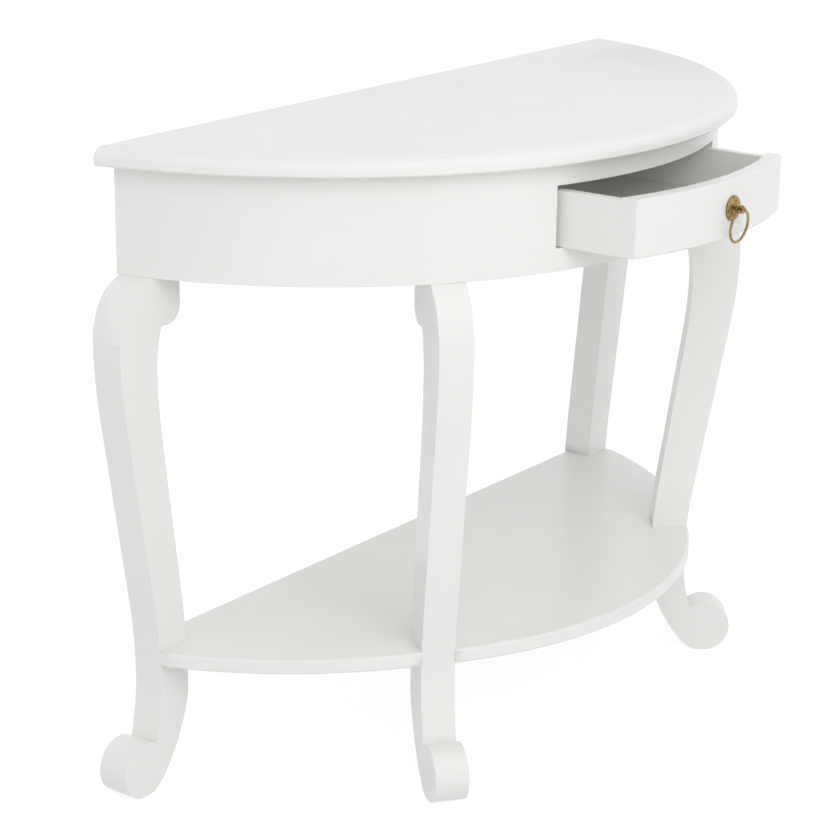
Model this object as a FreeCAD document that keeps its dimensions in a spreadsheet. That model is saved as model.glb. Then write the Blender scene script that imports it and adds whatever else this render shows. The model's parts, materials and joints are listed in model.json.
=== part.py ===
"""Demilune hall table: moulded top, bent apron, four cabriole legs, low shelf and one drawer with a ring pull.

Millimetres. The pieces are drawn with the back ends of the apron on y = 0, the front towards -y and the
floor on z = 0, with the drawer shut. Their placements then move everything so that the origin lies on the
floor, under the middle of the whole table, and the drawer is drawn out as far as drawer_open.
"""
import FreeCAD, Part
import math
import os
import re

Vector = FreeCAD.Vector
UP = Vector(0, 0, 1)

# Driving sizes
SIZES = {
    "table_height": 730,
    "top_half_width": 489,
    "top_depth": 411.7,
    "top_overhang": 5.7,
    "top_thickness": 20,
    "top_edge_inset": 11,
    "top_edge_step": 1,
    "top_edge_lean": 1,
    "top_edge_round": 13,
    "top_edge_bevel": 2,
    "apron_side_inset": 24.2,
    "apron_front_inset": 20.3,
    "apron_height": 119.6,
    "apron_thickness": 15,
    "window_half_width": 162.4947,
    "upper_rail_height": 25.5,
    "lower_rail_height": 25.5,
    "back_rail_thickness": 15,
    "leg_thickness": 38.8,
    "leg_angle": 35.6,
    "leg_toe": 1.5,
    "leg_setback": 3.3,
    "back_leg_out": 13.4,
    "post_depth": 60.6,
    "block_drop": 55,
    "block_round": 19.5,
    "block_neck": 31,
    "knee_bulge": 33.9,
    "knee_drop": 64.2,
    "knee_bend": 1.28,
    "knee_share": 0.5,
    "calf_inset": 22.9,
    "calf_drop": 101.6,
    "calf_bend": 1.32,
    "calf_share": 0.39,
    "ankle_inset": 18.3,
    "ankle_height": 128.5,
    "heel_inset": 62,
    "heel_height": 109.8,
    "heel_sole_pull": 28,
    "heel_back_pull": 33,
    "foot_reach": 43.6,
    "foot_radius": 32.1,
    "foot_flat": 6.6,
    "foot_notch": 19.9,
    "shelf_side_inset": 13.7,
    "shelf_front_inset": 28,
    "shelf_front_share": 0.8687,
    "shelf_side_step": 15.6,
    "shelf_end_trim": 19,
    "shelf_height": 166.8,
    "shelf_thickness": 17,
    "shelf_setback": 5.7,
    "shelf_lap": 38,
    "shelf_edge_bevel": 2,
    "drawer_open": 92,
    "drawer_side_gap": 7.5,
    "drawer_gap": 0.8,
    "drawer_top_gap": 3.5,
    "drawer_front_thickness": 18,
    "drawer_front_round": 2.5,
    "drawer_side_thickness": 11,
    "drawer_side_drop": 3,
    "drawer_back_thickness": 11,
    "drawer_back_drop": 2,
    "drawer_rear": 72,
    "panel_thickness": 5,
    "panel_lift": 8,
    "groove_depth": 5,
    "groove_gap": 0.2,
    "runner_gap": 0.3,
    "runner_lap": 15,
    "runner_thickness": 12,
    "guide_gap": 1,
    "guide_thickness": 14,
    "guide_height": 20,
    "tenon_width": 10,
    "tenon_height": 7,
    "tenon_length": 8,
    "tenon_inset": 9,
    "stop_length": 15,
    "stop_height": 12,
    "block_length": 40,
    "block_width": 22,
    "front_block_angle": 28.5,
    "side_block_angle": 56,
    "screw_radius": 2,
    "screw_head_radius": 4,
    "screw_head_depth": 2.4,
    "screw_bite": 12,
    "screw_end_gap": 0.5,
    "leg_screw_bite": 10,
    "leg_screw_edge": 32,
    "runner_screw_bite": 25,
    "kicker_screw_edge": 60,
    "fit_gap": 0.05,
    "dowel_radius": 4,
    "dowel_half_length": 15,
    "dowel_edge": 16,
    "small_dowel_radius": 3,
    "small_dowel_half_length": 12,
    "pin_radius": 1.25,
    "pin_length": 30,
    "pin_edge": 15,
    "pull_height": 32.7,
    "rosette_radius": 14,
    "rosette_rim": 1.4,
    "rosette_crown": 4.2,
    "rosette_boss_radius": 5,
    "bolt_radius": 2,
    "neck_radius": 2.6,
    "collar_radius": 4,
    "collar_length": 1.6,
    "ball_radius": 4.7,
    "ball_reach": 12,
    "ring_radius": 18.5,
    "ring_wire_radius": 1.5,
    "ring_lean": 7,
    "ring_bore_radius": 2.4,
    "washer_radius": 6,
    "washer_thickness": 1,
    "nut_radius": 4.2,
    "nut_thickness": 3.2,
    "bolt_tail": 2,
}

# Sizes and places that follow from the driving sizes
DERIVED = {
    "top_radius": "(top_half_width ^ 2 + top_depth ^ 2) / (2 * top_depth)",
    "top_front": "top_depth - top_overhang",
    "top_centre": "top_radius - top_front",
    "top_under": "table_height - top_thickness",
    "apron_half_width": "top_half_width - apron_side_inset",
    "apron_depth": "top_front - apron_front_inset",
    "apron_radius": "(apron_half_width ^ 2 + apron_depth ^ 2) / (2 * apron_depth)",
    "apron_centre": "apron_radius - apron_depth",
    "apron_inner": "apron_radius - apron_thickness",
    "apron_base": "top_under - apron_height",
    "window_low": "apron_base + lower_rail_height",
    "window_high": "top_under - upper_rail_height",
    "shelf_half_width": "top_half_width - shelf_side_inset",
    "shelf_depth": "top_front - shelf_front_inset",
    "shelf_side_depth": "shelf_depth - shelf_setback - shelf_side_step",
    "shelf_side_radius": "(shelf_half_width ^ 2 + shelf_side_depth ^ 2) / (2 * shelf_side_depth)",
    "shelf_side_centre": "shelf_side_radius - shelf_side_depth - shelf_setback",
    "shelf_front_radius": "shelf_side_radius * shelf_front_share",
    "shelf_front_centre": "shelf_front_radius - shelf_depth",
    "shelf_end": "shelf_half_width - shelf_end_trim",
    "shelf_under": "shelf_height - shelf_thickness",
    "leg_mid": "leg_setback + leg_thickness / 2",
    "back_leg_face": "sqrt(apron_radius ^ 2 - (apron_centre + leg_mid) ^ 2) + back_leg_out",
    "post_face": "back_leg_face - post_depth",
    "rail_front": "leg_setback + back_rail_thickness",
    "drawer_half": "window_half_width - drawer_side_gap",
    "drawer_base": "window_low + drawer_gap",
    "drawer_top": "window_high - drawer_top_gap",
    "drawer_front_inner": "apron_radius - drawer_front_thickness",
    "drawer_side_top": "drawer_top - drawer_side_drop",
    "drawer_inside": "drawer_half - drawer_side_thickness",
    "panel_low": "drawer_base + panel_lift",
    "panel_high": "panel_low + panel_thickness",
    "runner_high": "drawer_base - runner_gap",
    "runner_low": "runner_high - runner_thickness",
    "guide_inner": "drawer_half + guide_gap",
    "runner_inner": "drawer_half - runner_lap",
    "runner_outer": "guide_inner + guide_thickness",
    "runner_mid": "(runner_inner + runner_outer) / 2",
    "runner_end": "sqrt(apron_inner ^ 2 - runner_mid ^ 2) - apron_centre",
    "tenon_mid": "window_half_width - tenon_inset",
    "tenon_end": "sqrt(apron_inner ^ 2 - tenon_mid ^ 2) - apron_centre + tenon_length",
    "top_screw_length": "upper_rail_height + screw_bite",
    "leg_screw_length": "post_depth - apron_thickness + leg_screw_bite",
    "runner_screw_length": "back_rail_thickness + runner_screw_bite",
    "pull_z": "drawer_base + pull_height",
    "rosette_seat": "apron_radius - sqrt(apron_radius ^ 2 - rosette_radius ^ 2)",
    "washer_seat": "drawer_front_inner - sqrt(drawer_front_inner ^ 2 - washer_radius ^ 2)",
    "washer_face": "drawer_front_thickness + washer_seat",
    "bolt_length": "washer_face + washer_thickness + nut_thickness + bolt_tail",
    "ring_drop": "ring_radius * cos(ring_lean)",
    "ring_inset": "ring_radius * sin(ring_lean)",
    "shift": "(apron_depth + drawer_open + ball_reach + ball_radius - top_overhang) / 2",
    "drawer_shift": "shift - drawer_open",
}

doc = FreeCAD.newDocument("demilune_table")
sheet = doc.addObject("Spreadsheet::Sheet", "Sizes")
for row, (alias, number) in enumerate(SIZES.items(), start=1):
    sheet.set(f"A{row}", alias)
    sheet.set(f"B{row}", str(number))
    sheet.setAlias(f"B{row}", alias)
doc.recompute()

nodes = []


def formula(text):
    """Spell out a size formula in terms of the sheet's cells."""
    def spell(match):
        word = match.group()
        if word in DERIVED:
            return f"({formula(DERIVED[word])})"
        return f"Sizes.{word}" if word in SIZES else word
    return re.sub(r"[a-z_]+", spell, str(text))


def value(text):
    """The number that a size formula stands for."""
    return float(sheet.evalExpression(formula(text)))


def bind(thing, **formulas):
    """Tie properties of an object to the sheet. x, y and z stand for the place."""
    for name, text in formulas.items():
        path = f"Placement.Base.{name}" if name in "xyz" else name
        thing.setExpression(path, formula(text))
    return thing


def node(thing, label, moves="shift"):
    """Name a finished piece and move it from the drawing position to its place."""
    thing.Label = label
    bind(thing, y=moves)
    nodes.append(thing)
    return thing


def box(name, x, y, z):
    """A box between two formulas along each axis."""
    (x0, x1), (y0, y1), (z0, z1) = x, y, z
    thing = doc.addObject("Part::Box", name)
    return bind(thing, Length=f"({x1}) - ({x0})", Width=f"({y1}) - ({y0})", Height=f"({z1}) - ({z0})",
                x=x0, y=y0, z=z0)


def disc(name, radius, centre, low, high):
    """An upright cylinder on the axis of one of the outlines."""
    thing = doc.addObject("Part::Cylinder", name)
    return bind(thing, Radius=radius, Height=f"({high}) - ({low})", y=centre, z=low)


def boolean(kind, name, base, tool):
    thing = doc.addObject(f"Part::{kind}", name)
    thing.Base = base
    thing.Tool = tool
    return thing


def shaped(name, shape):
    thing = doc.addObject("Part::Feature", name)
    thing.Shape = shape
    return thing


def bored(name, base, holes):
    """A piece with holes or recesses taken out of it."""
    return boolean("Cut", name, base, shaped(f"{name}_holes", Part.makeCompound(holes)))


def bent(name, outer, thickness, x, low, high):
    """A bent piece of the apron's curve between two upright planes, cut off square at the back edge."""
    ring = boolean("Cut", f"{name}_ring",
                   disc(f"{name}_outside", outer, "apron_centre", low, high),
                   disc(f"{name}_inside", f"{outer} - {thickness}", "apron_centre", low, high))
    return boolean("Common", f"{name}_bent", ring,
                   box(f"{name}_span", x, ("-apron_depth - apron_thickness", "0"), (low, high)))


def eased(kind, name, base, size, wanted):
    """Fillet or chamfer the edges that a test picks."""
    doc.recompute()
    thing = doc.addObject(f"Part::{kind}", name)
    thing.Base = base
    thing.Edges = [(number, size, size) for number, edge in enumerate(base.Shape.Edges, start=1)
                   if wanted(edge)]
    return thing


def turned(points, slack=0.0):
    """A solid turned about Z from (radius, height) corners, fattened by slack."""
    corners = [Vector(radius + slack if radius else 0, 0, height) for radius, height in points]
    return Part.Face(Part.makePolygon(corners + corners[:1])).revolve(Vector(), UP, 360)


def aimed(shape, point, direction):
    """A shape drawn up the Z axis, moved to a point and turned along a direction."""
    shape = shape.copy()
    shape.Placement = FreeCAD.Placement(point, FreeCAD.Rotation(UP, direction))
    return shape


def screw(length, slack=0.0, beyond=0.0):
    """A countersunk screw whose head face is on z = 0, or with slack the hole that it takes."""
    radius = value("screw_radius")
    head = value("screw_head_radius")
    depth = value("screw_head_depth")
    return turned([(0, 0), (head, 0), (radius, depth), (radius, length + beyond - radius),
                   (0, length + beyond)], slack)


def peg(radius, half_length, slack=0.0, beyond=0.0):
    """A dowel centred on the origin, or with slack the hole that it takes."""
    reach = half_length + beyond
    return turned([(0, -reach), (radius, -reach), (radius, reach), (0, reach)], slack)


FIT = value("fit_gap")
END = value("screw_end_gap")


class Fasteners:
    """A group of like fasteners and the holes that they take."""

    def __init__(self):
        self.solids = []
        self.holes = []

    def add(self, solid, hole, point, direction):
        self.solids.append(aimed(solid, point, direction))
        self.holes.append(aimed(hole, point, direction))

    def add_screw(self, length, point, direction):
        self.add(screw(length), screw(length, FIT, END), point, direction)

    def add_peg(self, radius, half_length, point, direction):
        self.add(peg(radius, half_length), peg(radius, half_length, FIT, END), point, direction)

    def group(self, label, moves="shift"):
        node(shaped(label, Part.makeCompound(self.solids)), label, moves)


# Places and directions of the legs: the front ones stand at the apron's outer face, the back ones further out
apron_radius = value("apron_radius")
apron_centre = value("apron_centre")
leg_angle = math.radians(value("leg_angle"))
front_reach = apron_radius * math.sin(leg_angle)
front_depth = apron_radius * math.cos(leg_angle) - apron_centre
front_turn = value("leg_angle + leg_toe")
back_reach = value("back_leg_face")
LEGS = {
    "leg_back_left": (Vector(-back_reach, -value("leg_mid"), 0), 180.0),
    "leg_front_left": (Vector(-front_reach, -front_depth, 0), -90.0 - front_turn),
    "leg_front_right": (Vector(front_reach, -front_depth, 0), front_turn - 90.0),
    "leg_back_right": (Vector(back_reach, -value("leg_mid"), 0), 0.0),
}
BACK_LEGS = ("leg_back_left", "leg_back_right")


def leg_direction(turn):
    return Vector(math.cos(math.radians(turn)), math.sin(math.radians(turn)), 0)


# Fasteners of the frame, worked out first because their holes go into several pieces
window_high = value("window_high")
block_face = value("apron_inner - block_width / 2")
block_places = []
for side in (-1, 1):
    for angle in (value("front_block_angle"), value("side_block_angle")):
        outwards = Vector(side * math.sin(math.radians(angle)), -math.cos(math.radians(angle)), 0)
        block_places.append((Vector(0, apron_centre, 0) + outwards * block_face, outwards))
    back_place = Vector(side * value("post_face / 2"), -value("rail_front + block_width / 2"), 0)
    block_places.append((back_place, Vector(0, 1, 0)))

top_screws = Fasteners()
for place, outwards in block_places:
    top_screws.add_screw(value("top_screw_length"), place + UP * window_high, UP)
for side in (-1, 1):
    for depth in (value("runner_end - kicker_screw_edge"), value("rail_front + kicker_screw_edge")):
        place = Vector(side * value("runner_mid"), -depth, window_high)
        top_screws.add_screw(value("top_screw_length"), place, UP)

leg_screws = Fasteners()
for label, (place, turn) in LEGS.items():
    outwards = leg_direction(turn)
    spare = value("back_leg_out") if label in BACK_LEGS else 0.0
    for height in (value("apron_base + leg_screw_edge"), value("top_under - leg_screw_edge")):
        head_place = place - outwards * value("post_depth") + UP * height
        leg_screws.add_screw(value("leg_screw_length") - spare, head_place, outwards)

runner_screws = Fasteners()
for side in (-1, 1):
    head_place = Vector(side * value("runner_mid"), -value("leg_setback"),
                        value("runner_low + runner_thickness / 2"))
    runner_screws.add_screw(value("runner_screw_length"), head_place, Vector(0, -1, 0))

back_rail_dowels = Fasteners()
for side in (-1, 1):
    for height in (value("apron_base + dowel_edge"), value("top_under - dowel_edge")):
        place = Vector(side * value("post_face"), -value("leg_setback + back_rail_thickness / 2"), height)
        back_rail_dowels.add_peg(value("dowel_radius"), value("dowel_half_length"), place, Vector(1, 0, 0))

apron_dowels = Fasteners()
seam_radius = value("apron_radius - apron_thickness / 2")
seam_turn = math.asin(value("window_half_width") / seam_radius)
for side in (-1, 1):
    for height in (value("apron_base + lower_rail_height / 2"), value("top_under - upper_rail_height / 2")):
        place = Vector(side * value("window_half_width"), apron_centre - seam_radius * math.cos(seam_turn), height)
        along = Vector(math.cos(seam_turn), side * math.sin(seam_turn), 0)
        apron_dowels.add_peg(value("small_dowel_radius"), value("small_dowel_half_length"), place, along)


def sketch(body, name, edges):
    """A sketch on the upright plane of a body: across along x, up along y."""
    planes = {feature.Role: feature for feature in body.Origin.OriginFeatures}
    drawn = body.newObject("Sketcher::SketchObject", name)
    drawn.AttachmentSupport = [(planes["XZ_Plane"], "")]
    drawn.MapMode = "FlatFace"
    drawn.addGeometry(edges, False)
    return drawn


def turned_body(name, edges):
    """A body turned about its Z axis from a closed (radius, height) outline."""
    body = doc.addObject("PartDesign::Body", f"{name}_body")
    outline = sketch(body, f"{name}_outline", edges)
    turning = body.newObject("PartDesign::Revolution", f"{name}_turning")
    turning.Profile = outline
    turning.ReferenceAxis = (outline, ["V_Axis"])
    turning.Angle = 360
    return body


def chain(*points):
    """Straight edges from each (x, y) point to the next."""
    corners = [Vector(x, y, 0) for x, y in points]
    return [Part.LineSegment(start, end) for start, end in zip(corners, corners[1:])]


def quarter(start, end, upright_end):
    """A quarter round from start to end, upright at the end if asked and otherwise at the start."""
    slope = math.sqrt(0.5)
    (x0, y0), (x1, y1) = start, end
    if upright_end:
        middle = (x0 + (x1 - x0) * slope, y1 + (y0 - y1) * slope)
    else:
        middle = (x1 + (x0 - x1) * slope, y0 + (y1 - y0) * slope)
    return Part.Arc(Vector(*start, 0), Vector(*middle, 0), Vector(*end, 0))


# Table top, turned as a whole disc and cut off along the back
def table_top():
    radius = value("top_radius")
    high = value("top_thickness")
    rim = radius - value("top_edge_inset")
    quirk = (rim + value("top_edge_lean"), high - value("top_edge_step"))
    nose = (radius, quirk[1] - value("top_edge_round"))
    foot = value("top_edge_bevel")
    body = turned_body("top", [
        *chain((radius - foot, 0), (0, 0), (0, high), (rim, high), quirk),
        quarter(quirk, nose, True),
        *chain(nose, (radius, foot), (radius - foot, 0)),
    ])
    bind(body, y="top_centre", z="top_under")
    across = "top_half_width + top_depth"
    front = box("top_front", (f"-({across})", across), ("-top_front", "top_overhang"),
                ("top_under", "table_height"))
    half = boolean("Common", "top_half", body, front)
    node(bored("top_bored", half, top_screws.holes), "table_top")


# Bent apron in two side panels and two rails round the drawer, joined by dowels
def apron():
    panel_holes = leg_screws.holes + apron_dowels.holes
    spans = {
        "apron_left": ("-apron_half_width - apron_thickness", "-window_half_width"),
        "apron_right": ("window_half_width", "apron_half_width + apron_thickness"),
    }
    for label, span in spans.items():
        panel = bent(label, "apron_radius", "apron_thickness", span, "apron_base", "top_under")
        node(bored(f"{label}_bored", panel, panel_holes), label)
    window = ("-window_half_width", "window_half_width")
    upper = bent("apron_upper", "apron_radius", "apron_thickness", window, "window_high", "top_under")
    node(bored("apron_upper_bored", upper, apron_dowels.holes), "apron_upper_rail")
    lower = bent("apron_lower", "apron_radius", "apron_thickness", window, "apron_base", "window_low")
    mortises = [tenon_shape(side, FIT) for side in (-1, 1)]
    node(bored("apron_lower_bored", lower, apron_dowels.holes + mortises), "apron_lower_rail")


def tenon_shape(side, slack=0.0):
    """The tenon on a runner's front end, or with slack the mortise for it in the lower rail."""
    width = value("tenon_width") + 2 * slack
    height = value("tenon_height") + 2 * slack
    front = value("tenon_end") + slack
    middle = value("runner_low + runner_thickness / 2")
    corner = Vector(side * value("tenon_mid") - width / 2, -front, middle - height / 2)
    return Part.makeBox(width, value("2 * tenon_length") + slack, height, corner)


# Straight rail between the back legs
def back_rail():
    board = box("back_board", ("-post_face", "post_face"), ("-rail_front", "-leg_setback"),
                ("apron_base", "top_under"))
    node(bored("back_bored", board, back_rail_dowels.holes + runner_screws.holes), "back_rail")


# Cabriole legs
def tangent_run(start, end, bend, share):
    """An upright curve from start down to end: an arc, a straight run and an arc back to upright.

    Points are (outwards, height). Bend is the lean of the straight run over the lean of the line from start to
    end, between 1 and 2. Share is the first arc's part of the two radii taken together.
    """
    (out_a, high), (out_b, low) = start, end
    across = out_a - out_b
    drop = high - low
    lean = bend * math.atan2(across, drop)
    both = (drop * math.sin(lean) - across * math.cos(lean)) / (1 - math.cos(lean))
    start_radius = share * both
    end_radius = both - start_radius

    def near_start(angle):
        return Vector(out_a - start_radius * (1 - math.cos(angle)), high - start_radius * math.sin(angle), 0)

    def near_end(angle):
        return Vector(out_b + end_radius * (1 - math.cos(angle)), low + end_radius * math.sin(angle), 0)

    return [Part.Arc(near_start(0), near_start(lean / 2), near_start(lean)),
            Part.LineSegment(near_start(lean), near_end(lean)),
            Part.Arc(near_end(lean), near_end(lean / 2), near_end(0))]


def upright_arc(upright, other):
    """An arc that is upright at one end and passes through the other."""
    across = other[0] - upright[0]
    rise = other[1] - upright[1]
    half = math.atan2(abs(across), abs(rise))
    radius = math.hypot(across, rise) / (2 * math.sin(half))
    middle = Vector(upright[0] + math.copysign(radius * (1 - math.cos(half)), across),
                    upright[1] + math.copysign(radius * math.sin(half), rise), 0)
    return Part.Arc(Vector(*upright, 0), middle, Vector(*other, 0))


def leg_outline():
    """The sawn outline of a leg: outwards from the apron's face along x, height along y."""
    base = value("apron_base")
    top = value("top_under")
    shoulder = (0.0, base)
    knee = (value("knee_bulge"), base - value("knee_drop"))
    ankle = (-value("ankle_inset"), value("ankle_height"))
    foot_radius = value("foot_radius")
    foot_middle = value("foot_reach") - foot_radius
    notch_out = value("foot_notch")
    notch = (foot_middle - notch_out, foot_radius + math.sqrt(foot_radius ** 2 - notch_out ** 2))
    toe = (value("foot_reach"), foot_radius)
    sole = (foot_middle, 0.0)
    heel_start = (foot_middle - value("foot_flat"), 0.0)
    heel = (-value("heel_inset"), value("heel_height"))
    calf = (-value("calf_inset"), base - value("calf_drop"))
    block_low = base - value("block_drop")
    neck = (-value("block_neck"), block_low)
    block_round = value("block_round")
    block_in = -value("post_depth")
    corner_end = Vector(block_in + block_round, block_low, 0)
    corner_start = Vector(block_in, block_low + block_round, 0)
    soft = block_round * (1 - math.sqrt(0.5))
    corner_mid = Vector(block_in + soft, block_low + soft, 0)

    heel_curve = Part.BezierCurve()
    heel_curve.setPoles([Vector(*heel_start, 0), Vector(heel_start[0] - value("heel_sole_pull"), 0, 0),
                         Vector(heel[0], heel[1] - value("heel_back_pull"), 0), Vector(*heel, 0)])
    return [
        upright_arc(knee, shoulder),
        *tangent_run(knee, ankle, value("knee_bend"), value("knee_share")),
        upright_arc(ankle, notch),
        Part.Arc(Vector(*notch, 0), Vector(*toe, 0), Vector(*sole, 0)),
        Part.LineSegment(Vector(*sole, 0), Vector(*heel_start, 0)),
        heel_curve.toBSpline(),
        *tangent_run(calf, heel, value("calf_bend"), value("calf_share")),
        upright_arc(calf, neck),
        Part.LineSegment(Vector(*neck, 0), corner_end),
        Part.Arc(corner_end, corner_mid, corner_start),
        Part.LineSegment(corner_start, Vector(block_in, top, 0)),
        Part.LineSegment(Vector(block_in, top, 0), Vector(0, top, 0)),
        Part.LineSegment(Vector(0, top, 0), Vector(*shoulder, 0)),
    ]


def shoulder_space():
    """The space round the apron that is worked away so that the back legs' shoulders run flush into it."""
    base = value("apron_base")
    low = base - value("knee_drop")
    knee = value("apron_radius + back_leg_out + knee_bulge")
    beyond = knee + value("leg_thickness")
    body = turned_body("shoulder_space", [
        upright_arc((knee, low), (apron_radius, base)),
        *chain((knee, low), (beyond, low), (beyond, base), (apron_radius, base)),
    ])
    return bind(body, y="apron_centre")


def legs():
    behind = boolean("Cut", "apron_space",
                     disc("apron_space_outside", "apron_radius + post_depth", "apron_centre",
                          "apron_base", "top_under"),
                     disc("apron_space_inside", "apron_inner", "apron_centre", "apron_base", "top_under"))
    beside = shoulder_space()
    for label, (place, turn) in LEGS.items():
        body = doc.addObject("PartDesign::Body", f"{label}_body")
        outline = sketch(body, f"{label}_outline", leg_outline())
        board = body.newObject("PartDesign::Pad", f"{label}_board")
        board.Profile = outline
        board.SideType = "Symmetric"
        bind(board, Length="leg_thickness")
        lap = -value("shelf_lap")
        inside = -2 * value("heel_inset")
        low = value("shelf_under")
        high = value("shelf_height")
        dado = sketch(body, f"{label}_dado",
                      chain((inside, low), (lap, low), (lap, high), (inside, high), (inside, low)))
        housing = body.newObject("PartDesign::Pocket", f"{label}_housing")
        housing.Profile = dado
        housing.SideType = "Symmetric"
        bind(housing, Length="2 * leg_thickness")
        body.Placement = FreeCAD.Placement(place, FreeCAD.Rotation(UP, turn))
        scribed = boolean("Cut", f"{label}_scribed", body, behind)
        if label in BACK_LEGS:
            scribed = boolean("Cut", f"{label}_flush", scribed, beside)
        node(bored(f"{label}_bored", scribed, leg_screws.holes + back_rail_dowels.holes), label)


# Low shelf of a tighter curve at the front than at the sides, notched for the outer half of each leg
def shelf():
    thick = value("shelf_thickness")
    bevel = value("shelf_edge_bevel")
    rounds = []
    for part in ("front", "side"):
        radius = value(f"shelf_{part}_radius")
        whole = turned([(0, 0), (radius - bevel, 0), (radius, bevel), (radius, thick - bevel),
                        (radius - bevel, thick), (0, thick)])
        middle = Vector(0, value(f"shelf_{part}_centre"), value("shelf_under"))
        rounds.append(shaped(f"shelf_{part}_round", aimed(whole, middle, UP)))
    board = boolean("Common", "shelf_board", boolean("Fuse", "shelf_outline", *rounds),
                    box("shelf_ends", ("-shelf_end", "shelf_end"), ("-shelf_depth", "-shelf_setback"),
                        ("shelf_under", "shelf_height")))
    lap = value("shelf_lap")
    wide = value("leg_thickness")
    notches = []
    for place, turn in LEGS.values():
        notch = Part.makeBox(lap + value("post_depth"), wide, value("shelf_thickness"),
                             Vector(-lap, -wide / 2, value("shelf_under")))
        notch.Placement = FreeCAD.Placement(place, FreeCAD.Rotation(UP, turn))
        notches.append(notch)
    node(bored("shelf_notched", board, notches), "shelf")


# Runners, kickers, stops and blocks under the top
def drawer_carriage():
    stops = []
    for side, word in ((-1, "left"), (1, "right")):
        def span(inner, outer):
            return (f"-({outer})", f"-({inner})") if side < 0 else (inner, outer)
        along = ("-apron_depth", "-rail_front")
        name = f"runner_{word}"
        tread = box(f"{name}_tread", span("runner_inner", "runner_outer"), along, ("runner_low", "runner_high"))
        guide = box(f"{name}_guide", span("guide_inner", "runner_outer"), along,
                    ("runner_high", "runner_high + guide_height"))
        angle = boolean("Fuse", f"{name}_angle", tread, guide)
        room = disc(f"{name}_room", "apron_inner", "apron_centre", "runner_low", "runner_high + guide_height")
        fitted = boolean("Common", f"{name}_fitted", angle, room)
        whole = boolean("Fuse", f"{name}_whole", fitted, shaped(f"{name}_tenon", tenon_shape(side)))
        node(bored(f"{name}_bored", whole, runner_screws.holes), f"drawer_runner_{word}")

        name = f"kicker_{word}"
        strip = box(f"{name}_strip", span("runner_inner", "runner_outer"), along, ("window_high", "top_under"))
        room = disc(f"{name}_room", "apron_inner", "apron_centre", "window_high", "top_under")
        fitted = boolean("Common", f"{name}_fitted", strip, room)
        node(bored(f"{name}_bored", fitted, top_screws.holes), f"drawer_kicker_{word}")

        stop_left = value(span("runner_inner", "drawer_half")[0])
        stops.append(Part.makeBox(value("drawer_half - runner_inner"), value("stop_length"), value("stop_height"),
                                  Vector(stop_left, -value("drawer_rear - runner_gap"), value("runner_high"))))
    node(shaped("stops", Part.makeCompound(stops)), "drawer_stops")


def glue_blocks():
    room = Part.makeCylinder(value("apron_inner"), value("upper_rail_height"), Vector(0, apron_centre, window_high))
    long = value("block_length")
    deep = value("block_width")
    blocks = []
    for place, outwards in block_places:
        straight = outwards.y > 0
        spare = 0.0 if straight else deep / 2
        block = Part.makeBox(long, deep + spare, value("upper_rail_height"),
                             Vector(-long / 2, -deep / 2, window_high))
        turn = FreeCAD.Rotation(Vector(0, 1, 0), outwards)
        block.Placement = FreeCAD.Placement(place, turn)
        blocks.append(block if straight else block.common(room))
    block_set = shaped("blocks", Part.makeCompound(blocks))
    node(bored("blocks_bored", block_set, top_screws.holes), "glue_blocks")


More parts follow.
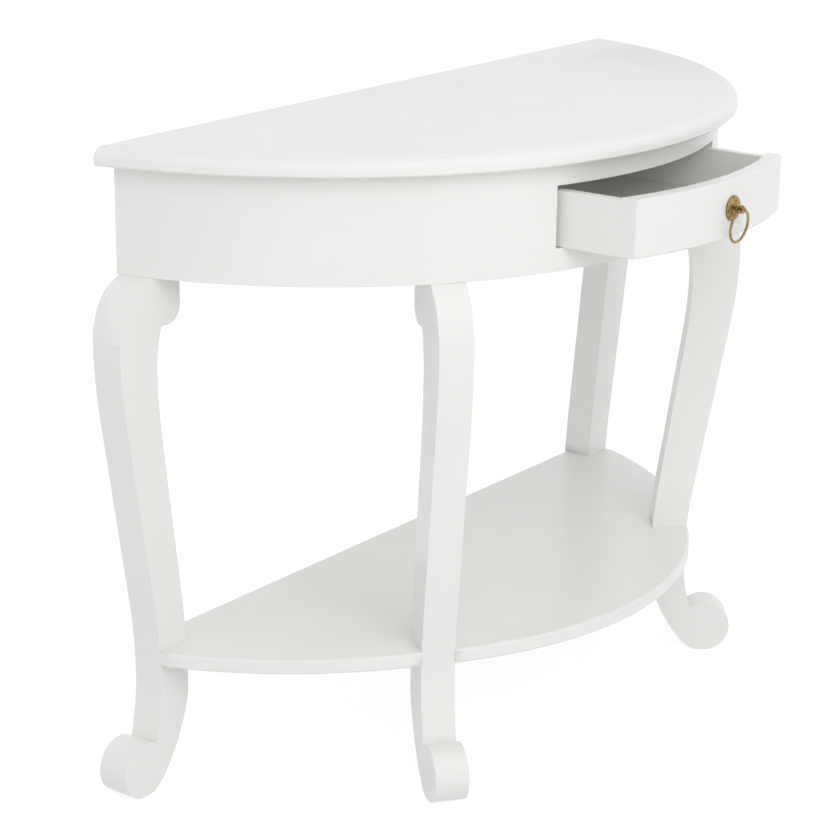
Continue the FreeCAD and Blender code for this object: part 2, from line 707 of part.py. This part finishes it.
# Drawer, drawn shut and then moved out
def drawer():
    pull_middle = Vector(0, -value("apron_depth"), value("pull_z"))
    backwards = Vector(0, 1, 0)
    side_middle = value("drawer_half - drawer_side_thickness / 2")
    joint = math.sqrt(value("drawer_front_inner") ** 2 - side_middle ** 2) - apron_centre
    third = value("(drawer_side_top - drawer_base) / 3")
    dowels = Fasteners()
    pins = Fasteners()
    rear_mid = value("drawer_rear + drawer_back_thickness / 2")
    pin_edge = value("pin_edge")
    for side in (-1, 1):
        for step in (1, 2):
            height = value("drawer_base") + third * step + third / 4
            dowels.add_peg(value("small_dowel_radius"), value("small_dowel_half_length"),
                           Vector(side * side_middle, -joint, height), backwards)
        for height in (value("panel_high") + pin_edge, value("drawer_side_top") - pin_edge):
            half = value("pin_length") / 2
            pins.add_peg(value("pin_radius"), half,
                         Vector(side * (value("drawer_half") - half - END), -rear_mid, height), Vector(1, 0, 0))

    front = bent("drawer_front", "apron_radius", "drawer_front_thickness", ("-drawer_half", "drawer_half"),
                 "drawer_base", "drawer_top")
    face_y = -value("apron_depth")
    soft = eased("Fillet", "drawer_front_soft", front, value("drawer_front_round"), on_front_face)
    groove = Part.makeCylinder(value("drawer_front_inner + groove_depth"), value("panel_thickness + groove_gap"),
                               Vector(0, apron_centre, value("panel_low")))
    groove_half = value("drawer_inside + groove_depth")
    groove = groove.common(Part.makeBox(2 * groove_half, -face_y, value("drawer_top"),
                                        Vector(-groove_half, face_y, 0)))
    bolt_hole = aimed(peg(value("bolt_radius"), value("2 * drawer_front_thickness"), FIT), pull_middle, backwards)
    node(bored("drawer_front_bored", soft, [groove, bolt_hole] + dowels.holes), "drawer_front", "drawer_shift")

    room = ("drawer_front_inner", "apron_centre", "drawer_base", "drawer_top")
    for side, word in ((-1, "left"), (1, "right")):
        name = f"drawer_side_{word}"
        span = ("-drawer_half", "-drawer_inside") if side < 0 else ("drawer_inside", "drawer_half")
        board = box(f"{name}_board", span, ("-apron_depth", "-drawer_rear"), ("drawer_base", "drawer_side_top"))
        fitted = boolean("Common", f"{name}_fitted", board, disc(f"{name}_room", *room))
        inside = value("drawer_inside")
        groove_left = -inside - value("groove_depth") if side < 0 else inside
        channel = Part.makeBox(value("groove_depth"), value("apron_depth"),
                               value("panel_thickness + groove_gap"),
                               Vector(groove_left, -value("apron_depth"), value("panel_low")))
        node(bored(f"{name}_bored", fitted, [channel] + dowels.holes + pins.holes), name, "drawer_shift")

    rear = box("drawer_rear_board", ("-drawer_inside", "drawer_inside"),
               ("-drawer_rear - drawer_back_thickness", "-drawer_rear"),
               ("panel_high", "drawer_side_top - drawer_back_drop"))
    node(bored("drawer_rear_bored", rear, pins.holes), "drawer_back", "drawer_shift")

    half = "drawer_inside + groove_depth - groove_gap"
    sheet_board = box("drawer_sheet", (f"-({half})", half), ("-apron_depth", "-drawer_rear"),
                      ("panel_low", "panel_high"))
    sheet_room = disc("drawer_sheet_room", "drawer_front_inner + groove_depth - groove_gap", "apron_centre",
                      "panel_low", "panel_high")
    node(boolean("Common", "drawer_sheet_fitted", sheet_board, sheet_room), "drawer_bottom", "drawer_shift")
    dowels.group("drawer_dowels", "drawer_shift")
    pins.group("drawer_pins", "drawer_shift")


def on_front_face(edge):
    """True for the edges round the outer face of the drawer front."""
    radius = value("apron_radius")
    return all(abs(math.hypot(point.X, point.Y - apron_centre) - radius) < FIT for point in edge.Vertexes)


# Ring pull: domed rosette, bolt with a bored ball, hanging ring, washer and nut
def on_drawer_front(thing, y):
    """Turn a piece drawn up the Z axis towards the front, at the pull's height and at a place along y."""
    thing.Placement = FreeCAD.Placement(Vector(), FreeCAD.Rotation(Vector(1, 0, 0), 90))
    return bind(thing, y=y, z="pull_z")


def ring_pull():
    bolt = value("bolt_radius")
    hole = bolt + FIT
    wide = value("rosette_radius")
    boss = value("rosette_boss_radius")
    rim = value("rosette_rim")
    crown = value("rosette_crown")
    back = -value("rosette_seat")
    dome = quarter((wide, rim), (boss, crown), False)
    rosette = on_drawer_front(turned_body("rosette", [
        *chain((boss, crown), (hole, crown), (hole, back), (wide, back), (wide, rim)), dome]), "-apron_depth")
    face = disc("rosette_bed", "apron_radius", "apron_centre", "drawer_base", "drawer_top")
    node(boolean("Cut", "rosette_bedded", rosette, face), "pull_rosette", "drawer_shift")

    reach = value("ball_reach")
    ball = value("ball_radius")
    neck = value("neck_radius")
    collar = value("collar_radius")
    collar_end = crown + value("collar_length")
    tail = -value("bolt_length")
    ball_start = reach - math.sqrt(ball ** 2 - neck ** 2)
    post = on_drawer_front(turned_body("post", [
        *chain((0, reach + ball), (0, tail), (bolt, tail), (bolt, crown), (collar, crown), (collar, collar_end),
               (neck, collar_end), (neck, ball_start)),
        Part.Arc(Vector(neck, ball_start, 0), Vector(ball, reach, 0), Vector(0, reach + ball, 0))]),
        "-apron_depth")
    bore = doc.addObject("Part::Cylinder", "ring_bore")
    bore.Placement = FreeCAD.Placement(Vector(), FreeCAD.Rotation(Vector(0, 1, 0), 90))
    bind(bore, Radius="ring_bore_radius", Height="2 * ball_radius", x="-ball_radius",
         y="-apron_depth - ball_reach", z="pull_z")
    node(boolean("Cut", "post_bored", post, bore), "pull_post", "drawer_shift")

    washer = turned_body("washer", chain((hole, 0), (value("washer_radius"), 0),
                                         (value("washer_radius"), value("washer_thickness")),
                                         (hole, value("washer_thickness")), (hole, 0)))
    on_drawer_front(washer, "0")
    node(washer, "pull_washer", "drawer_shift - apron_depth + washer_face + washer_thickness")
    nut = doc.addObject("Part::Prism", "nut_blank")
    nut.Polygon = 6
    bind(nut, Circumradius="nut_radius", Height="nut_thickness")
    on_drawer_front(nut, "-apron_depth + washer_face + washer_thickness + nut_thickness")
    thread = doc.addObject("Part::Cylinder", "nut_thread")
    bind(thread, Radius="bolt_radius + fit_gap", Height="nut_thickness")
    on_drawer_front(thread, "-apron_depth + washer_face + washer_thickness + nut_thickness")
    node(boolean("Cut", "nut_bored", nut, thread), "pull_nut", "drawer_shift")

    ring = doc.addObject("Part::Torus", "ring")
    ring.Placement = FreeCAD.Placement(Vector(), FreeCAD.Rotation(Vector(1, 0, 0), 90 + value("ring_lean")))
    bind(ring, Radius1="ring_radius", Radius2="ring_wire_radius", z="pull_z - ring_drop")
    node(ring, "pull_ring", "drawer_shift - apron_depth - ball_reach + ring_inset")


table_top()
apron()
back_rail()
legs()
shelf()
drawer_carriage()
glue_blocks()
top_screws.group("top_screws")
leg_screws.group("leg_screws")
runner_screws.group("runner_screws")
back_rail_dowels.group("back_rail_dowels")
apron_dowels.group("apron_dowels")
drawer()
ring_pull()
doc.recompute()

for thing in doc.Objects:
    if "Invalid" in thing.State or "Error" in thing.State:
        raise RuntimeError(f"{thing.Name} failed: {thing.State}")
for thing in nodes:
    if thing.Shape.isNull() or not thing.Shape.isValid():
        raise RuntimeError(f"{thing.Label} has no valid shape")

os.makedirs("parts", exist_ok=True)
for thing in nodes:
    thing.Shape.exportStep(f"parts/{thing.Label}.step")
    print(f"{thing.Label}: {len(thing.Shape.Solids)} solid(s), {thing.Shape.Volume / 1000:.2f} cm3")
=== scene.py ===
"""Looks of the demilune table: satin white paint, aged brass pull, raw wood inside, in a pale studio."""
import json
import math

import bmesh
import bpy
from mathutils import Matrix, Vector

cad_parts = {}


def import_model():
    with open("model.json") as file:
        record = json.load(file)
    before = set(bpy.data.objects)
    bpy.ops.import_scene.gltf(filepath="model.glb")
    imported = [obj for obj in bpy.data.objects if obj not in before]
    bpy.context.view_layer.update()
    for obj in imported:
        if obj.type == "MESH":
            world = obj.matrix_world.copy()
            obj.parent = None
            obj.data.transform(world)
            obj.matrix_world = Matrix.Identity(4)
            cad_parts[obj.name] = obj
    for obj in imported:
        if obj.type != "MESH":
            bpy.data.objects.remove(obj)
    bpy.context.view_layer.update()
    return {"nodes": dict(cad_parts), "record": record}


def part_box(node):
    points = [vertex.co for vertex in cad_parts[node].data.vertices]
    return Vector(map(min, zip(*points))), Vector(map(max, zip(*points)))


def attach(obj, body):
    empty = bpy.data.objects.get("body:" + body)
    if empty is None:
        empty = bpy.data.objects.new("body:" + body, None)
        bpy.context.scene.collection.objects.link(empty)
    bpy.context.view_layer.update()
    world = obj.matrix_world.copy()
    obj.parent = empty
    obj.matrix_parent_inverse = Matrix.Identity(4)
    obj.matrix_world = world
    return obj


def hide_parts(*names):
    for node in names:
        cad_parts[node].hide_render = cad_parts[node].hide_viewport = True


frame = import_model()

MM = 0.001

# Camera, fitted to the photograph
CAMERA_AZIMUTH = math.radians(-53.52)
CAMERA_ELEVATION = math.radians(17.57)
CAMERA_ROLL = math.radians(0.63)
CAMERA_AIM = Vector((-0.0583, 0.1428, 0.3476))
CAMERA_DISTANCE = 2.93
CAMERA_LENS = 105.19
CAMERA_SENSOR = 36.0

# Softness of the painted edges
EDGE_ANGLE = math.radians(32)
LEG_EASE = 1.6 * MM
NOTCH_EASE = 5.0 * MM
FOOT_TOP = 80.0 * MM
BOARD_EASE = 0.4 * MM
APRON_EASE = 0.4 * MM
DRAWER_EASE = 0.8 * MM
SHELF_EASE = 0.7 * MM
EASE_SEGMENTS = 3
SHORT_EDGE = 3.0 * MM
STEEP = 0.5
FLAT_ANGLE = math.radians(0.4)
TOUCH = 0.02 * MM

# Light
HORIZON_LIGHT = 0.82
ZENITH_LIGHT = 0.62
FLOOR_GLOW = 0.82
FLOOR_SHADE = 0.30
FLOOR_BOUNCE = 0.86
FLOOR_HALF = 30.0
LAMP_AIM = (0.0, -0.05, 0.5)
KEY_POWER = 46.0
KEY_PLACE = (-2.05, -2.87, 2.85)
KEY_SIZE = 2.4
UPPER_POWER = 6.0
UPPER_PLACE = (-0.28, -1.67, 3.14)
UPPER_SIZE = 1.6

# Rosette of the pull
PETALS = 10
PETAL_HEIGHT = 0.55 * MM
BEAD_HEIGHT = 0.5 * MM
ROSETTE_STEPS = 160
ROSETTE_RIM = 1.4 * MM
ROSETTE_BOSS = 5.0 * MM
ROSETTE_HOLE = 2.05 * MM
ROSETTE_SHARP = math.radians(60)
DOME_STEPS = 34
BOSS_TOP_SHARE = 0.9
BEAD_PLACE = 0.9
BEAD_WIDTH = 0.045
PETAL_START = 0.02
PETAL_END = 0.82
PETAL_FULLNESS = 0.7

# Strips of the apron's panels and window
PANEL_STEPS = 28
WINDOW_STEPS = 20

# Range that noise mostly stays in
NOISE_LOW = 0.3
NOISE_HIGH = 0.7


# Materials
class Nodes:
    """A node material with short ways to add and link nodes."""

    def __init__(self, name):
        self.material = bpy.data.materials.new(name)
        self.material.use_nodes = True
        self.tree = self.material.node_tree
        self.shader = self.tree.nodes["Principled BSDF"]
        self.place = self.add("ShaderNodeTexCoord").outputs["Object"]

    def add(self, kind, **values):
        made = self.tree.nodes.new(kind)
        for name, value in values.items():
            setattr(made, name, value)
        return made

    def link(self, source, target):
        self.tree.links.new(source, target)

    def stretched(self, scale):
        """Object coordinates scaled apart along each axis."""
        mapping = self.add("ShaderNodeMapping")
        mapping.inputs["Scale"].default_value = scale
        self.link(self.place, mapping.inputs["Vector"])
        return mapping.outputs["Vector"]

    def noise(self, scale, detail=2.0, roughness=0.5, place=None):
        made = self.add("ShaderNodeTexNoise")
        made.inputs["Scale"].default_value = scale
        made.inputs["Detail"].default_value = detail
        made.inputs["Roughness"].default_value = roughness
        self.link(place or self.place, made.inputs["Vector"])
        return made.outputs["Fac"]

    def ramp(self, source, *stops):
        """Colours or greys along a value: (position, colour) stops."""
        made = self.add("ShaderNodeValToRGB")
        elements = made.color_ramp.elements
        while len(elements) < len(stops):
            elements.new(0.5)
        for element, (position, colour) in zip(elements, stops):
            element.position = position
            element.color = (*colour, 1.0)
        self.link(source, made.inputs["Fac"])
        return made.outputs["Color"]

    def spread(self, source, low, high):
        """A noise value carried from its usual range to another one."""
        made = self.add("ShaderNodeMapRange")
        made.inputs["From Min"].default_value = NOISE_LOW
        made.inputs["From Max"].default_value = NOISE_HIGH
        made.inputs["To Min"].default_value = low
        made.inputs["To Max"].default_value = high
        self.link(source, made.inputs["Value"])
        return made.outputs["Result"]

    def bump(self, source, depth, strength=1.0, below=None):
        made = self.add("ShaderNodeBump")
        made.inputs["Strength"].default_value = strength
        made.inputs["Distance"].default_value = depth
        self.link(source, made.inputs["Height"])
        if below:
            self.link(below, made.inputs["Normal"])
        return made.outputs["Normal"]

    def set(self, **values):
        """Link or set sockets of the shader: underscores stand for spaces."""
        for name, value in values.items():
            socket = self.shader.inputs[name.replace("_", " ")]
            if isinstance(value, bpy.types.NodeSocket):
                self.link(value, socket)
            else:
                socket.default_value = value


def white_paint():
    """Sprayed satin lacquer: faint drift of tone, fine orange peel and low sanding marks."""
    nodes = Nodes("white_paint")
    drift = nodes.noise(scale=4.0, detail=4.0)
    nodes.set(Base_Color=nodes.ramp(drift, (NOISE_LOW, (0.860, 0.860, 0.842)),
                                    (NOISE_HIGH, (0.885, 0.884, 0.868))))
    patchy = nodes.noise(scale=28.0, detail=3.0)
    nodes.set(Roughness=nodes.spread(patchy, low=0.30, high=0.42))
    sanding = nodes.noise(scale=60.0, place=nodes.stretched((1.0, 1.0, 0.25)))
    peel = nodes.noise(scale=420.0)
    sanded = nodes.bump(sanding, depth=0.10 * MM, strength=0.35)
    nodes.set(Normal=nodes.bump(peel, depth=0.05 * MM, strength=0.35, below=sanded))
    nodes.set(Specular_IOR_Level=0.5, Coat_Weight=0.25, Coat_Roughness=0.16)
    return nodes.material


def raw_wood(name, along):
    """Planed softwood with long grain along one axis."""
    nodes = Nodes(name)
    across = [1.0, 1.0, 1.0]
    across["xyz".index(along)] = 0.06
    grain_place = nodes.stretched(across)
    grain = nodes.noise(scale=95.0, detail=6.0, roughness=0.62, place=grain_place)
    nodes.set(Base_Color=nodes.ramp(grain, (0.30, (0.56, 0.42, 0.26)), (0.48, (0.70, 0.56, 0.38)),
                                    (0.72, (0.78, 0.65, 0.47))))
    fibres = nodes.noise(scale=900.0, place=grain_place)
    nodes.set(Roughness=nodes.spread(fibres, low=0.55, high=0.78))
    nodes.set(Normal=nodes.bump(fibres, depth=0.15 * MM, strength=0.5))
    return nodes.material


def aged_brass():
    """Brass darkened in the hollows, rubbed brighter elsewhere."""
    nodes = Nodes("aged_brass")
    tarnish = nodes.noise(scale=260.0, detail=5.0, roughness=0.6)
    nodes.set(Base_Color=nodes.ramp(tarnish, (0.30, (0.150, 0.098, 0.044)), (0.50, (0.370, 0.255, 0.112)),
                                    (0.72, (0.580, 0.435, 0.210))))
    nodes.set(Roughness=nodes.spread(nodes.noise(scale=500.0, detail=3.0), low=0.24, high=0.46))
    nodes.set(Normal=nodes.bump(nodes.noise(scale=1800.0), depth=0.03 * MM, strength=0.4))
    nodes.set(Metallic=1.0)
    return nodes.material


def zinc_steel():
    """Dull bluish zinc plating."""
    nodes = Nodes("zinc_steel")
    spangle = nodes.noise(scale=700.0, detail=3.0)
    nodes.set(Base_Color=nodes.ramp(spangle, (NOISE_LOW, (0.42, 0.43, 0.44)),
                                    (NOISE_HIGH, (0.60, 0.61, 0.60))))
    nodes.set(Roughness=nodes.spread(nodes.noise(scale=1500.0), low=0.30, high=0.48))
    nodes.set(Metallic=1.0)
    return nodes.material


PAINT = white_paint()
WOOD_ALONG = {axis: raw_wood(f"raw_wood_{axis}", axis) for axis in "xyz"}
BRASS = aged_brass()
ZINC = zinc_steel()


# Pieces
def body_of(node):
    return next(body for body, members in frame["record"]["behaviour"]["bodies"].items() if node in members)


def show(mesh, name, material, *nodes):
    """Put a mesh in the scene in place of CAD nodes, riding with their body."""
    mesh.materials.clear()
    mesh.materials.append(material)
    piece = bpy.data.objects.new(name, mesh)
    bpy.context.scene.collection.objects.link(piece)
    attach(piece, body_of(nodes[0]))
    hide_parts(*nodes)
    return piece


def bevelled(piece, width, weighted=False):
    """Round the sharp edges of a piece, all of them or those that carry a bevel weight."""
    bevel = piece.modifiers.new("eased_edges", "BEVEL")
    bevel.width = width
    bevel.segments = EASE_SEGMENTS
    bevel.limit_method = "WEIGHT" if weighted else "ANGLE"
    bevel.angle_limit = EDGE_ANGLE
    bevel.miter_outer = "MITER_ARC"
    bevel.harden_normals = True
    piece.data.shade_smooth()
    piece.data.set_sharp_from_angle(angle=EDGE_ANGLE)
    return piece


def eased(node, width, wanted):
    """A copy of a CAD node with its sharp edges rounded.

    wanted gets the two end points of an edge and tells the share of the full width that it is rounded by.
    """
    form = bmesh.new()
    form.from_mesh(frame["nodes"][node].data)
    bmesh.ops.remove_doubles(form, verts=form.verts, dist=TOUCH / 2)
    bmesh.ops.dissolve_limit(form, angle_limit=FLAT_ANGLE, verts=form.verts, edges=form.edges)
    weight = form.edges.layers.float.new("bevel_weight_edge")
    for edge in form.edges:
        if len(edge.link_faces) == 2 and edge.calc_face_angle() > EDGE_ANGLE:
            edge[weight] = float(wanted(edge.verts[0].co, edge.verts[1].co))
    mesh = bpy.data.meshes.new(f"{node}_painted")
    form.to_mesh(mesh)
    form.free()
    return bevelled(show(mesh, f"{node}_painted", PAINT, node), width, weighted=True)


def near(value, *targets):
    return any(abs(value - target) < TOUCH for target in targets)


def upright(a, b):
    return abs(a.z - b.z) > STEEP * (a - b).length


# Outline of the apron, read from its pieces
RAIL_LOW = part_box("apron_lower_rail")
RAIL_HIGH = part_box("apron_upper_rail")
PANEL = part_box("apron_right")
BACK_Y = PANEL[1].y
APRON_DEPTH = BACK_Y - RAIL_LOW[0].y
APRON_RADIUS = (PANEL[1].x ** 2 + APRON_DEPTH ** 2) / (2 * APRON_DEPTH)
APRON_CENTRE = RAIL_LOW[0].y + APRON_RADIUS
APRON_INNER = math.hypot(APRON_CENTRE - RAIL_LOW[1].y, RAIL_LOW[1].x)
APRON_BASE = RAIL_LOW[0].z
WINDOW = RAIL_LOW[1].x
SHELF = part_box("shelf")


def apron_skin():
    """The painted apron as one bent board with a window for the drawer."""
    heights = (APRON_BASE, RAIL_LOW[1].z, RAIL_HIGH[0].z, RAIL_HIGH[1].z)

    def turns(radius):
        end = math.acos((APRON_CENTRE - BACK_Y) / radius)
        side = math.asin(WINDOW / radius)
        left = [-end + (end - side) * step / PANEL_STEPS for step in range(PANEL_STEPS)]
        middle = [-side + 2 * side * step / WINDOW_STEPS for step in range(WINDOW_STEPS)]
        right = [side + (end - side) * step / PANEL_STEPS for step in range(PANEL_STEPS + 1)]
        return left + middle + right

    form = bmesh.new()
    walls = []
    for radius in (APRON_RADIUS, APRON_INNER):
        wall = []
        for turn in turns(radius):
            x = radius * math.sin(turn)
            y = APRON_CENTRE - radius * math.cos(turn)
            wall.append([form.verts.new((x, y, height)) for height in heights])
        walls.append(wall)
    outer, inner = walls
    columns = len(outer) - 1
    rows = len(heights) - 1

    def filled(column, row):
        if not (0 <= column < columns and 0 <= row < rows):
            return False
        return row != 1 or not PANEL_STEPS <= column < PANEL_STEPS + WINDOW_STEPS

    for column in range(columns):
        for row in range(rows):
            if not filled(column, row):
                continue
            left, right, low, high = column, column + 1, row, row + 1
            form.faces.new((outer[left][low], outer[right][low], outer[right][high], outer[left][high]))
            form.faces.new((inner[left][low], inner[left][high], inner[right][high], inner[right][low]))
            borders = ((column, row - 1, left, low, right, low), (column, row + 1, right, high, left, high),
                       (column - 1, row, left, high, left, low), (column + 1, row, right, low, right, high))
            for beside_column, beside_row, c0, r0, c1, r1 in borders:
                if not filled(beside_column, beside_row):
                    form.faces.new((outer[c0][r0], inner[c0][r0], inner[c1][r1], outer[c1][r1]))
    bmesh.ops.recalc_face_normals(form, faces=form.faces)
    mesh = bpy.data.meshes.new("apron_painted")
    form.to_mesh(mesh)
    form.free()
    piece = show(mesh, "apron_painted", PAINT, "apron_left", "apron_right", "apron_upper_rail",
                 "apron_lower_rail")
    return bevelled(piece, APRON_EASE)


def painted_boards():
    """Legs, top, shelf and drawer boards with their edges rounded as paint leaves them."""
    def on_leg(a, b):
        in_dado = near(a.z, SHELF[0].z, SHELF[1].z) and near(b.z, SHELF[0].z, SHELF[1].z)
        if in_dado or min(a.z, b.z) > APRON_BASE - TOUCH:
            return 0.0
        over_toe = near(a.z, b.z) and a.z < FOOT_TOP
        return 1.0 if over_toe else LEG_EASE / NOTCH_EASE
    for node in ("leg_back_left", "leg_front_left", "leg_front_right", "leg_back_right"):
        eased(node, NOTCH_EASE, on_leg)

    def on_board(a, b):
        return not upright(a, b) and (a - b).length > SHORT_EDGE
    eased("table_top", BOARD_EASE, on_board)

    def level(a, b):
        return not upright(a, b)
    eased("shelf", SHELF_EASE, level)

    def long_edge(a, b):
        return (a - b).length > SHORT_EDGE
    for node in ("drawer_side_left", "drawer_side_right", "drawer_back", "back_rail"):
        eased(node, DRAWER_EASE, long_edge)
    bent_front = eased("drawer_front", DRAWER_EASE, long_edge)
    even = bent_front.modifiers.new("even_shading", "WEIGHTED_NORMAL")
    even.keep_sharp = True


def rosette():
    """The domed plate of the pull, with petals round the boss and a beaded rim."""
    low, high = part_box("pull_rosette")
    radius = (high.x - low.x) / 2
    middle = (low + high) / 2
    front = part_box("drawer_front")
    face_y = front[0].y
    crown = face_y - low.y
    bend_centre = face_y + APRON_RADIUS
    profile = [(ROSETTE_HOLE, 0.0), (radius, 0.0), (radius, ROSETTE_RIM)]
    for step in range(1, DOME_STEPS + 1):
        turn = math.pi / 2 * step / DOME_STEPS
        profile.append((ROSETTE_BOSS + (radius - ROSETTE_BOSS) * math.cos(turn),
                        ROSETTE_RIM + (crown - PETAL_HEIGHT - ROSETTE_RIM) * math.sin(turn)))
    profile.append((ROSETTE_BOSS * BOSS_TOP_SHARE, crown))
    profile.append((ROSETTE_HOLE, crown))

    def relief(across, turn):
        """Extra height of the petals and of the bead near the rim."""
        share = (across - ROSETTE_BOSS) / (radius - ROSETTE_BOSS)
        bead = math.exp(-((share - BEAD_PLACE) / BEAD_WIDTH) ** 2) * BEAD_HEIGHT
        if not PETAL_START < share < PETAL_END:
            return bead
        reach = math.sin(math.pi * (share - PETAL_START) / (PETAL_END - PETAL_START))
        petal = abs(math.cos(PETALS * turn / 2)) ** PETAL_FULLNESS
        return bead + PETAL_HEIGHT * reach * petal

    form = bmesh.new()
    rings = []
    for place, (across, lift) in enumerate(profile):
        ring = []
        for step in range(ROSETTE_STEPS):
            turn = 2 * math.pi * step / ROSETTE_STEPS
            x = across * math.cos(turn)
            if lift == 0.0:
                y = bend_centre - math.sqrt(APRON_RADIUS ** 2 - x ** 2)
            else:
                on_dome = 2 < place < len(profile) - 2
                y = face_y - lift - (relief(across, turn) if on_dome else 0.0)
            ring.append(form.verts.new((middle.x + x, y, middle.z + across * math.sin(turn))))
        rings.append(ring)
    for ring, following in zip(rings, rings[1:] + rings[:1]):
        for step in range(ROSETTE_STEPS):
            beside = (step + 1) % ROSETTE_STEPS
            form.faces.new((ring[step], ring[beside], following[beside], following[step]))
    bmesh.ops.recalc_face_normals(form, faces=form.faces)
    mesh = bpy.data.meshes.new("pull_rosette_chased")
    form.to_mesh(mesh)
    form.free()
    piece = show(mesh, "pull_rosette_chased", BRASS, "pull_rosette")
    piece.data.shade_smooth()
    piece.data.set_sharp_from_angle(angle=ROSETTE_SHARP)


def finish_nodes():
    """Materials of the CAD nodes that stay as they are."""
    finishes = {
        PAINT: ("drawer_bottom",),
        WOOD_ALONG["y"]: ("drawer_runner_left", "drawer_runner_right", "drawer_kicker_left",
                          "drawer_kicker_right", "drawer_stops", "drawer_dowels"),
        WOOD_ALONG["x"]: ("glue_blocks", "back_rail_dowels", "apron_dowels"),
        ZINC: ("top_screws", "leg_screws", "runner_screws", "drawer_pins"),
        BRASS: ("pull_post", "pull_ring", "pull_washer", "pull_nut"),
    }
    for material, nodes in finishes.items():
        for node in nodes:
            mesh = frame["nodes"][node].data
            mesh.materials.clear()
            mesh.materials.append(material)


# Studio
def seen_directly(tree):
    """1 for rays from the camera and for mirrored or transmitted ones, 0 for the light on things."""
    rays = tree.nodes.new("ShaderNodeLightPath")
    seen = rays.outputs["Is Camera Ray"]
    for kind in ("Is Glossy Ray", "Is Transmission Ray"):
        either = tree.nodes.new("ShaderNodeMath")
        either.operation = "MAXIMUM"
        tree.links.new(seen, either.inputs[0])
        tree.links.new(rays.outputs[kind], either.inputs[1])
        seen = either.outputs["Value"]
    return seen


def floor():
    """A pale floor that looks white to the camera and keeps a soft shadow."""
    mesh = bpy.data.meshes.new("floor")
    corners = [(x * FLOOR_HALF, y * FLOOR_HALF, 0) for x, y in ((-1, -1), (1, -1), (1, 1), (-1, 1))]
    mesh.from_pydata(corners, [], [(0, 1, 2, 3)])
    piece = bpy.data.objects.new("floor", mesh)
    bpy.context.scene.collection.objects.link(piece)
    material = bpy.data.materials.new("floor_white")
    material.use_nodes = True
    tree = material.node_tree
    tree.nodes.clear()
    matt = tree.nodes.new("ShaderNodeBsdfDiffuse")
    matt.inputs["Color"].default_value = (FLOOR_BOUNCE, FLOOR_BOUNCE, FLOOR_BOUNCE, 1)
    pale = tree.nodes.new("ShaderNodeBsdfDiffuse")
    pale.inputs["Color"].default_value = (FLOOR_SHADE, FLOOR_SHADE, FLOOR_SHADE, 1)
    glow = tree.nodes.new("ShaderNodeEmission")
    glow.inputs["Strength"].default_value = FLOOR_GLOW
    both = tree.nodes.new("ShaderNodeAddShader")
    mix = tree.nodes.new("ShaderNodeMixShader")
    out = tree.nodes.new("ShaderNodeOutputMaterial")
    tree.links.new(pale.outputs["BSDF"], both.inputs[0])
    tree.links.new(glow.outputs["Emission"], both.inputs[1])
    tree.links.new(seen_directly(tree), mix.inputs["Fac"])
    tree.links.new(matt.outputs["BSDF"], mix.inputs[1])
    tree.links.new(both.outputs["Shader"], mix.inputs[2])
    tree.links.new(mix.outputs["Shader"], out.inputs["Surface"])
    mesh.materials.append(material)


def world():
    """Studio light all round, stronger near the horizon than overhead, and white to the camera."""
    made = bpy.data.worlds.new("studio")
    bpy.context.scene.world = made
    made.use_nodes = True
    tree = made.node_tree
    background = tree.nodes["Background"]
    place = tree.nodes.new("ShaderNodeTexCoord")
    height = tree.nodes.new("ShaderNodeSeparateXYZ")
    light = tree.nodes.new("ShaderNodeMapRange")
    light.inputs["To Min"].default_value = HORIZON_LIGHT
    light.inputs["To Max"].default_value = ZENITH_LIGHT
    strength = tree.nodes.new("ShaderNodeMapRange")
    strength.inputs["To Max"].default_value = 1.0
    tree.links.new(place.outputs["Generated"], height.inputs["Vector"])
    tree.links.new(height.outputs["Z"], light.inputs["Value"])
    tree.links.new(light.outputs["Result"], strength.inputs["To Min"])
    tree.links.new(seen_directly(tree), strength.inputs["Value"])
    tree.links.new(strength.outputs["Result"], background.inputs["Strength"])
    background.inputs["Color"].default_value = (1.0, 1.0, 1.0, 1.0)


def softbox(name, place, size, power):
    """A large square lamp at a place, turned towards the table."""
    lamp = bpy.data.lights.new(name, "AREA")
    lamp.shape = "SQUARE"
    lamp.size = size
    lamp.energy = power
    made = bpy.data.objects.new(name, lamp)
    made.location = place
    made.rotation_euler = (Vector(LAMP_AIM) - Vector(place)).to_track_quat("-Z", "Y").to_euler()
    made.visible_glossy = False
    bpy.context.scene.collection.objects.link(made)


def camera():
    away = Vector((math.sin(CAMERA_AZIMUTH) * math.cos(CAMERA_ELEVATION),
                   -math.cos(CAMERA_AZIMUTH) * math.cos(CAMERA_ELEVATION),
                   math.sin(CAMERA_ELEVATION)))
    right = Vector((math.cos(CAMERA_AZIMUTH), math.sin(CAMERA_AZIMUTH), 0))
    up = away.cross(right)
    rolled = right * math.cos(CAMERA_ROLL) + up * math.sin(CAMERA_ROLL)
    above = up * math.cos(CAMERA_ROLL) - right * math.sin(CAMERA_ROLL)
    lens = bpy.data.cameras.new("camera")
    lens.lens = CAMERA_LENS
    lens.sensor_width = CAMERA_SENSOR
    made = bpy.data.objects.new("camera", lens)
    made.matrix_world = Matrix.Translation(CAMERA_AIM + away * CAMERA_DISTANCE) @ Matrix(
        (rolled, above, away)).transposed().to_4x4()
    bpy.context.scene.collection.objects.link(made)
    bpy.context.scene.camera = made


apron_skin()
painted_boards()
rosette()
finish_nodes()
floor()
world()
softbox("key", KEY_PLACE, KEY_SIZE, KEY_POWER)
softbox("upper", UPPER_PLACE, UPPER_SIZE, UPPER_POWER)
camera()
bpy.context.scene.view_settings.view_transform = "Standard"
